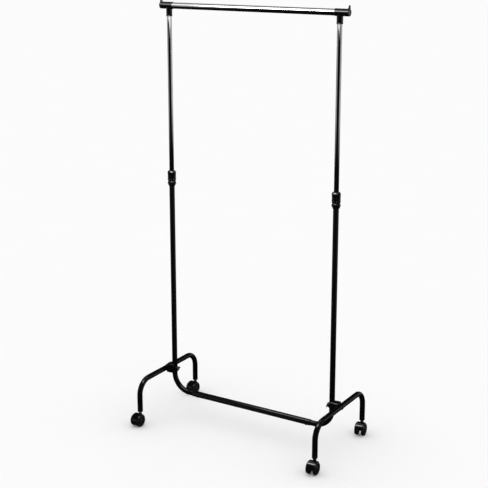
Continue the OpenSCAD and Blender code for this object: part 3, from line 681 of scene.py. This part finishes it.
def make_leg_joints():
    """Saddle block, clamp cap, leg bolt and wing nut."""
    hub = Vector((upright_x, middle_y, leg_bar_z))
    skin = 3.5 * MM          # the block's wall beside the upright
    neck_x = upright_x - 2 * MM
    wide_x = saddle_low.x + 12 * MM
    narrow = (upright_r + skin) / ((saddle_high.y - saddle_low.y) / 2)
    saddle = block("left_saddle_block", saddle_low, saddle_high)
    for x in (neck_x, wide_x):
        take(saddle)
        bpy.ops.object.mode_set(mode="EDIT")
        bpy.ops.mesh.select_all(action="SELECT")
        bpy.ops.mesh.bisect(plane_co=(x, 0, 0), plane_no=X_AXIS)
    select_where(saddle, lambda co: co.x > neck_x - 0.5 * MM)
    bpy.ops.transform.resize(value=(1, narrow, 1), center_override=hub)
    bpy.ops.object.mode_set(mode="OBJECT")
    face_out(saddle)
    half_h = (saddle_high.z - saddle_low.z) / 2

    def lengthwise_corner(one, other):
        outer = min(abs(one.z - hub.z), abs(other.z - hub.z)) > half_h - MM
        return outer and abs(one.x - other.x) > 4 * MM

    bevel_where(saddle, lengthwise_corner, 7 * MM)
    face_out(saddle)
    round_edges(saddle, 0.8 * MM, 3, 40)
    reach = 40 * MM
    leg_axis = Vector((leg_x, middle_y, leg_bar_z))
    cut_away(saddle,
             bar("upright_bore", upright_r + FIT, hub - reach * Z_AXIS,
                 hub + reach * Z_AXIS),
             bar("leg_bore", leg_r + FIT, leg_axis - reach * Y_AXIS,
                 leg_axis + reach * Y_AXIS),
             bar("bolt_bore", BOLT_R + 0.3 * MM, hub, leg_axis, 48))
    clean_slivers(saddle)
    smooth(saddle, 30)
    fit(mirrored(saddle, "right_saddle_block", middle_x), "right_saddle", "base",
        fitting_plastic)
    fit(saddle, "left_saddle", "base", fitting_plastic)

    cap_low, cap_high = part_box("left_clamp_cap")
    cap = block("left_cap_block", cap_low, cap_high)
    bevel_where(cap, lambda one, other: abs(one.x - other.x) > MM, 4 * MM)
    round_edges(cap, 0.5 * MM, 3, 40)
    cut_away(cap, bar("cap_bore", upright_r + FIT, hub - reach * Z_AXIS,
                      hub + reach * Z_AXIS))
    smooth(cap, 30)
    fit(mirrored(cap, "right_cap_block", middle_x), "right_clamp_cap", "base",
        fitting_plastic)
    fit(cap, "left_clamp_cap", "base", fitting_plastic)

    bolt_low, bolt_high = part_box("left_leg_bolt")
    head_r = (bolt_high.z - bolt_low.z) / 2
    shank_r = head_r / 2.5
    head_h = head_r * 0.44
    head_top = bolt_low.x
    shank_end = bolt_high.x - head_top
    bolt = turned("left_bolt", [
        (shank_end, shank_r - 0.5 * MM), (shank_end - 0.5 * MM, shank_r), (head_h, shank_r),
        (head_h, head_r), (head_h * 0.7, head_r), (head_h * 0.4, head_r * 0.9),
        (head_h * 0.17, head_r * 0.73), (head_h * 0.03, head_r * 0.52), (0, head_r * 0.45)], 64)
    hexagon = turned("hex_socket", [(-MM, head_r * 0.42), (1.6 * MM, head_r * 0.42)], 6)
    cut_away(bolt, hexagon)
    bolt = copied(bolt, "left_bolt_set", (head_top, middle_y, leg_bar_z), (0, QUARTER, 0))
    bpy.data.objects.remove(bpy.data.objects["left_bolt"])
    smooth(bolt, 35)
    fit(mirrored(bolt, "right_bolt_set", middle_x), "right_leg_bolt", "base",
        black_steel)
    fit(bolt, "left_leg_bolt", "base", black_steel)

    make_wing_nuts()


def make_wing_nuts():
    """A pressed wing nut: a tapered hub and two leaning wings with round tips."""
    wing_low, wing_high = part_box("left_wing_nut")
    seat_x = wing_low.x
    tip_x = wing_high.x - seat_x
    hub_r, hub_l = 5.6 * MM, 7 * MM
    half_span = 12 * MM
    thick = 2.2 * MM
    tip_r = 4 * MM
    lean = math.radians(35)
    hub = turned("wing_hub", [(0, hub_r), (hub_l * 0.6, hub_r), (hub_l, hub_r * 0.82)], 64)
    parts = [hub]
    for way in (-1, 1):
        tip = Vector((0, way * (half_span - tip_r), tip_x - tip_r))
        parts.append(bar("wing_tip", tip_r, tip - thick / 2 * X_AXIS, tip + thick / 2 * X_AXIS, 48))
        blade = block("wing_blade", (-thick / 2, -1 * MM, 1 * MM),
                      (thick / 2, half_span - tip_r, hub_l))
        select_where(blade, lambda co: co.y > 5 * MM)
        bpy.ops.transform.translate(value=(0, 0, 2 * MM))
        bpy.ops.object.mode_set(mode="OBJECT")
        if way < 0:
            blade = copied(blade, "wing_blade_turned", turn=(0, 0, math.pi))
            bpy.data.objects.remove(bpy.data.objects["wing_blade"])
        blade.name = "wing_blade_set"
        parts.append(blade)
    nut = join("wing_nut_blank", *parts)
    blend_together(nut, 0.3 * MM, 4)
    cut_away(nut, bar("wing_bore", BOLT_R + FIT, Vector((0, 0, -MM)), Vector((0, 0, 20 * MM)), 48))
    nut = copied(nut, "left_wing_nut_body", turn=(0, QUARTER, 0))
    bpy.data.objects.remove(bpy.data.objects["wing_nut_blank"])
    nut = copied(nut, "left_wing_nut_set", (seat_x, middle_y, leg_bar_z), (lean, 0, 0))
    bpy.data.objects.remove(bpy.data.objects["left_wing_nut_body"])
    smooth(nut, 50)
    fit(mirrored(nut, "right_wing_nut_set", middle_x), "right_wing_nut", "right_wing_nut",
        black_steel)
    fit(nut, "left_wing_nut", "left_wing_nut", black_steel)


# ---------------------------------------------------------------- casters

def make_casters():
    """One caster is modelled at the origin, trailing to the front, and copied to its corners."""
    plug_low, plug_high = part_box("front_left_plug")
    stem_low, stem_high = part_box("front_left_stem")
    plug_r = (plug_high.x - plug_low.x) / 2
    stem_r = (stem_high.x - stem_low.x) / 2
    bore = stem_r + FIT
    spigot = leg_r - leg_wall - FIT
    lip = leg_low.z - plug_low.z
    foot = plug_low.z
    plug = turned("leg_plug", [
        (foot, bore), (foot, plug_r - 0.7 * MM), (foot + 0.25 * MM, plug_r - 0.2 * MM),
        (foot + 0.7 * MM, plug_r), (foot + lip - 0.2 * MM, plug_r), (foot + lip, plug_r - 0.2 * MM),
        (foot + lip, spigot), (plug_high.z, spigot), (plug_high.z, bore), (foot, bore)], 64, True)
    smooth(plug, 30)

    groove_z, groove_h = stem_high.z - 9 * MM, 3 * MM
    groove_r = stem_r - 1.2 * MM
    stem = turned("swivel_stem", [
        (stem_low.z, stem_r - 0.4 * MM), (stem_low.z + 0.4 * MM, stem_r), (groove_z, stem_r),
        (groove_z, groove_r), (groove_z + groove_h, groove_r),
        (groove_z + groove_h, stem_r), (stem_high.z - 3 * MM, stem_r),
        (stem_high.z - 0.4 * MM, stem_r - 1.2 * MM), (stem_high.z, stem_r - 1.6 * MM)], 64)
    smooth(stem, 30)

    wheel_r, trail = 25 * MM, 17 * MM
    axle = Vector((0, -trail, wheel_r))
    wheel = make_wheel(wheel_r)
    hood = make_hood(wheel_r, trail, stem_low.z, stem_r)

    wheel_in = 7.5 * MM
    for corner in CORNERS:
        swivel = next(j for j in frame["joints"] if j["name"] == corner + "_swivel")
        spin = next(j for j in frame["joints"] if j["name"] == corner + "_wheel_b_spin")
        place = Vector((swivel["pos_m"][0], swivel["pos_m"][1], 0))
        turn = math.atan2(spin["axis"][1], spin["axis"][0])
        body = corner + "_caster"
        fit(copied(plug, corner + "_leg_plug", place), corner + "_plug", "base",
            fitting_plastic)
        fit(copied(stem, corner + "_swivel_stem", place), corner + "_stem", body,
            zinc)
        fit(copied(hood, corner + "_hood_moulding", place, (0, 0, turn)), corner + "_hood", body,
            fitting_plastic)
        for hand, outwards in (("a", -1), ("b", 1)):
            laid = copied(wheel, "wheel_laid", axle + outwards * wheel_in * X_AXIS,
                          (0, outwards * QUARTER, 0))
            name = corner + "_wheel_" + hand
            fit(copied(laid, name + "_tyre", place, (0, 0, turn)), name, name,
                wheel_plastic)
            bpy.data.objects.remove(laid)
    for pattern in (plug, stem, wheel, hood):
        bpy.data.objects.remove(pattern)


def make_wheel(wheel_r):
    """A wheel about Z with its inner face at 0: blind bore, dished faces, round tyre shoulders."""
    width = 13.5 * MM
    axle_bore = AXLE_R + FIT
    hub_r = 8 * MM
    rim_r = wheel_r - 5 * MM
    round_r = 4 * MM
    inner_dish, outer_dish = 2 * MM, 2.5 * MM
    shoulder_steps = 6
    rings = [(width - 1.5 * MM, axle_bore), (0, axle_bore), (0, hub_r), (inner_dish, hub_r),
             (inner_dish, rim_r), (0, rim_r)]
    for step in range(shoulder_steps + 1):
        angle = QUARTER * step / shoulder_steps
        rings.append((round_r - round_r * math.cos(angle),
                      wheel_r - round_r + round_r * math.sin(angle)))
    for step in range(shoulder_steps + 1):
        angle = QUARTER * step / shoulder_steps
        rings.append((width - round_r + round_r * math.sin(angle),
                      wheel_r - round_r + round_r * math.cos(angle)))
    rings += [(width, rim_r + 0.4 * MM), (width - 0.4 * MM, rim_r),
              (width - outer_dish + 0.8 * MM, rim_r - 0.5 * MM),
              (width - outer_dish, rim_r - 1.5 * MM), (width - outer_dish, hub_r + 1.2 * MM),
              (width - outer_dish + 0.6 * MM, hub_r + 0.4 * MM), (width - 0.6 * MM, hub_r),
              (width - 0.15 * MM, hub_r - 0.6 * MM), (width, hub_r - 1.6 * MM)]
    wheel = turned("wheel_pattern", rings, 96)
    smooth(wheel, 30)
    return wheel


def make_hood(wheel_r, trail, stem_foot, stem_r):
    """The hood over both wheels, with the web between them and the boss for the stem."""
    half = 15.5 * MM
    shell_in, shell_out = wheel_r + 1.5 * MM, wheel_r + 3.5 * MM
    front, back = math.radians(8), math.radians(165)
    web_half = 7 * MM
    boss_top = wheel_r + shell_out - 0.5 * MM
    tight = 0.03 * MM
    clear_bench()
    section = (0, (shell_in + shell_out) / 2, 0)
    bpy.ops.mesh.primitive_plane_add(size=1, location=section)
    bpy.ops.object.transform_apply(location=True, rotation=True, scale=True)
    bpy.ops.object.mode_set(mode="EDIT")
    bpy.ops.mesh.select_all(action="SELECT")
    bpy.ops.transform.resize(value=(2 * half, shell_out - shell_in, 1), center_override=section)
    bpy.ops.mesh.spin(steps=40, angle=-(back - front), center=(0, 0, 0), axis=X_AXIS)
    shell = settle("hood_shell")
    face_out(shell)
    axle = Vector((0, -trail, wheel_r))
    shell = copied(shell, "hood_shell_set", axle, (front, 0, 0))
    bpy.data.objects.remove(bpy.data.objects["hood_shell"])
    web = bar("hood_web", shell_in + 0.5 * MM, axle - web_half * X_AXIS, axle + web_half * X_AXIS)
    take(web)
    bpy.ops.object.mode_set(mode="EDIT")
    bpy.ops.mesh.select_all(action="SELECT")
    bpy.ops.mesh.bisect(plane_co=axle + 3 * MM * Z_AXIS, plane_no=Z_AXIS, use_fill=True,
                        clear_inner=True)
    bpy.ops.object.mode_set(mode="OBJECT")
    eye = bar("hood_eye", AXLE_R + 6 * MM, axle - web_half * X_AXIS, axle + web_half * X_AXIS, 64)
    boss = turned("hood_boss", [(wheel_r - 2 * MM, web_half), (boss_top - 0.6 * MM, web_half),
                                (boss_top, web_half - 0.6 * MM)], 64)
    hood = join("hood_pattern", shell, web, eye, boss)
    blend_together(hood, 0.45 * MM, 4)
    cut_away(hood,
             bar("stem_bore", stem_r + tight, Vector((0, 0, stem_foot)),
                 Vector((0, 0, boss_top + 5 * MM)), 64),
             bar("axle_bore", AXLE_R + tight, axle - 30 * MM * X_AXIS, axle + 30 * MM * X_AXIS, 64))
    smooth(hood, 50)
    return hood


make_tubes()
make_collars()
make_tees()
make_leg_joints()
make_casters()

CARRIED = {"crossbar_screws": black_steel}
for side in SIDES:
    CARRIED[side + "_collet"] = nylon
    CARRIED[side + "_glide_bush"] = nylon
for corner in CORNERS:
    CARRIED[corner + "_axle"] = zinc
for node_name, material in CARRIED.items():
    mesh = frame["nodes"][node_name].data
    mesh.materials.clear()
    mesh.materials.append(material)


# ---------------------------------------------------------------- studio

def studio_light():
    """A white room for the eye and for soft light. Gloss sees a tent: black cloth all round, with a
    tall panel on either hand, a soft box and its dim fringe close over the rail, and a lamp."""
    world = bpy.data.worlds.new("studio_tent")
    scene.world = world
    world.use_nodes = True
    world.cycles.sampling_method = "NONE"   # so that gloss sees the tent at every roughness
    tree = world.node_tree
    tree.nodes.clear()
    direction = add_node(tree, "ShaderNodeTexCoord").outputs["Generated"]
    parts = add_node(tree, "ShaderNodeSeparateXYZ", links={"Vector": direction})
    bearing = add_node(tree, "ShaderNodeMath", links={0: parts.outputs["Y"],
                                                      1: parts.outputs["X"]},
                       operation="ARCTAN2")
    round_room = add_node(tree, "ShaderNodeMapRange", {"From Min": -math.pi,
                                                       "From Max": math.pi},
                          {"Value": bearing.outputs["Value"]})
    panels = add_node(tree, "ShaderNodeValToRGB", links={"Fac": round_room.outputs["Result"]},
                      stops=[(0.0, grey(0.1)), (0.04, grey(0.42)), (0.12, grey(0.42)),
                             (0.17, grey(0.0)), (0.44, grey(0.0)), (0.5, grey(0.4)),
                             (0.69, grey(0.6)), (0.78, grey(0.1)), (1.0, grey(0.1))])
    height = add_node(tree, "ShaderNodeMapRange", {"From Min": -1.0, "From Max": 1.0},
                      {"Value": parts.outputs["Z"]})
    band = add_node(tree, "ShaderNodeValToRGB", links={"Fac": height.outputs["Result"]},
                    stops=[(0.34, grey(0)), (0.43, grey(1)), (0.62, grey(1)), (0.72, grey(0))])
    cloth = 0.004
    tent = add_node(tree, "ShaderNodeMath", {2: cloth},
                    {0: panels.outputs["Color"], 1: band.outputs["Color"]},
                    operation="MULTIPLY_ADD")
    seen_by = add_node(tree, "ShaderNodeLightPath")
    pick = add_node(tree, "ShaderNodeMix", {"A": 1.0},
                    {"Factor": seen_by.outputs["Is Glossy Ray"], "B": tent.outputs["Value"]},
                    data_type="FLOAT")
    light = add_node(tree, "ShaderNodeBackground", links={"Color": pick.outputs["Result"]})
    add_node(tree, "ShaderNodeOutputWorld", links={"Surface": light.outputs["Background"]})

    half_width = 1.4
    top = rail_z + 0.34
    skirt = rail_z + 0.2
    front, edge, back, rear = [middle_y + reach for reach in (-1.0, -0.1, 0.35, 1.1)]
    glowing_card("soft_box_top", (-half_width, front, top), (half_width, edge, top), 1.3)
    glowing_card("soft_box_front", (-half_width, front, skirt), (half_width, front, top), 0.9)
    glowing_card("soft_box_fringe", (-half_width, edge, top), (half_width, back, top), 0.22)
    glowing_card("soft_box_rear", (-half_width, back, top), (half_width, rear, top), 1.0)
    lamp_z = top - 0.01
    glowing_card("lamp", (-0.85, middle_y - 0.8, lamp_z), (0.6, middle_y - 0.4, lamp_z), 15.0)


def glowing_card(name, low, high, strength):
    """A flat card between two corners, level or upright, that is seen only in gloss."""
    clear_bench()
    low, high = Vector(low), Vector(high)
    middle = (low + high) / 2
    upright = high.z > low.z
    bpy.ops.mesh.primitive_plane_add(size=1, location=middle,
                                     rotation=(QUARTER if upright else 0, 0, 0))
    card = settle(name)
    select_where(card, lambda co: True)
    across = high - low
    bpy.ops.transform.resize(value=[side or 1 for side in across], center_override=middle)
    bpy.ops.object.mode_set(mode="OBJECT")
    material, tree, place = new_material(name + "_glow")
    glow = add_node(tree, "ShaderNodeEmission", {"Strength": strength})
    add_node(tree, "ShaderNodeOutputMaterial", links={"Surface": glow.outputs["Emission"]})
    card.data.materials.append(material)
    card.visible_camera = False
    card.visible_diffuse = False
    card.visible_shadow = False


def studio_floor():
    """A plain white floor that runs out past every view."""
    clear_bench()
    bpy.ops.mesh.primitive_plane_add(size=60)
    floor = settle("studio_floor")
    material, tree, place = new_material("matt_white_paper")
    mottle = add_node(tree, "ShaderNodeTexNoise", {"Scale": 3.0}, {"Vector": place})
    colour = add_node(tree, "ShaderNodeValToRGB", links={"Fac": mottle.outputs["Fac"]},
                      stops=[(0.0, grey(0.96)), (1.0, grey(0.98))])
    finish_material(tree, {"Roughness": 1.0, "Specular IOR Level": 0.0},
                    {"Base Color": colour.outputs["Color"]})
    floor.data.materials.append(material)
    floor.visible_glossy = False


studio_light()
studio_floor()
scene.view_settings.view_transform = "Standard"
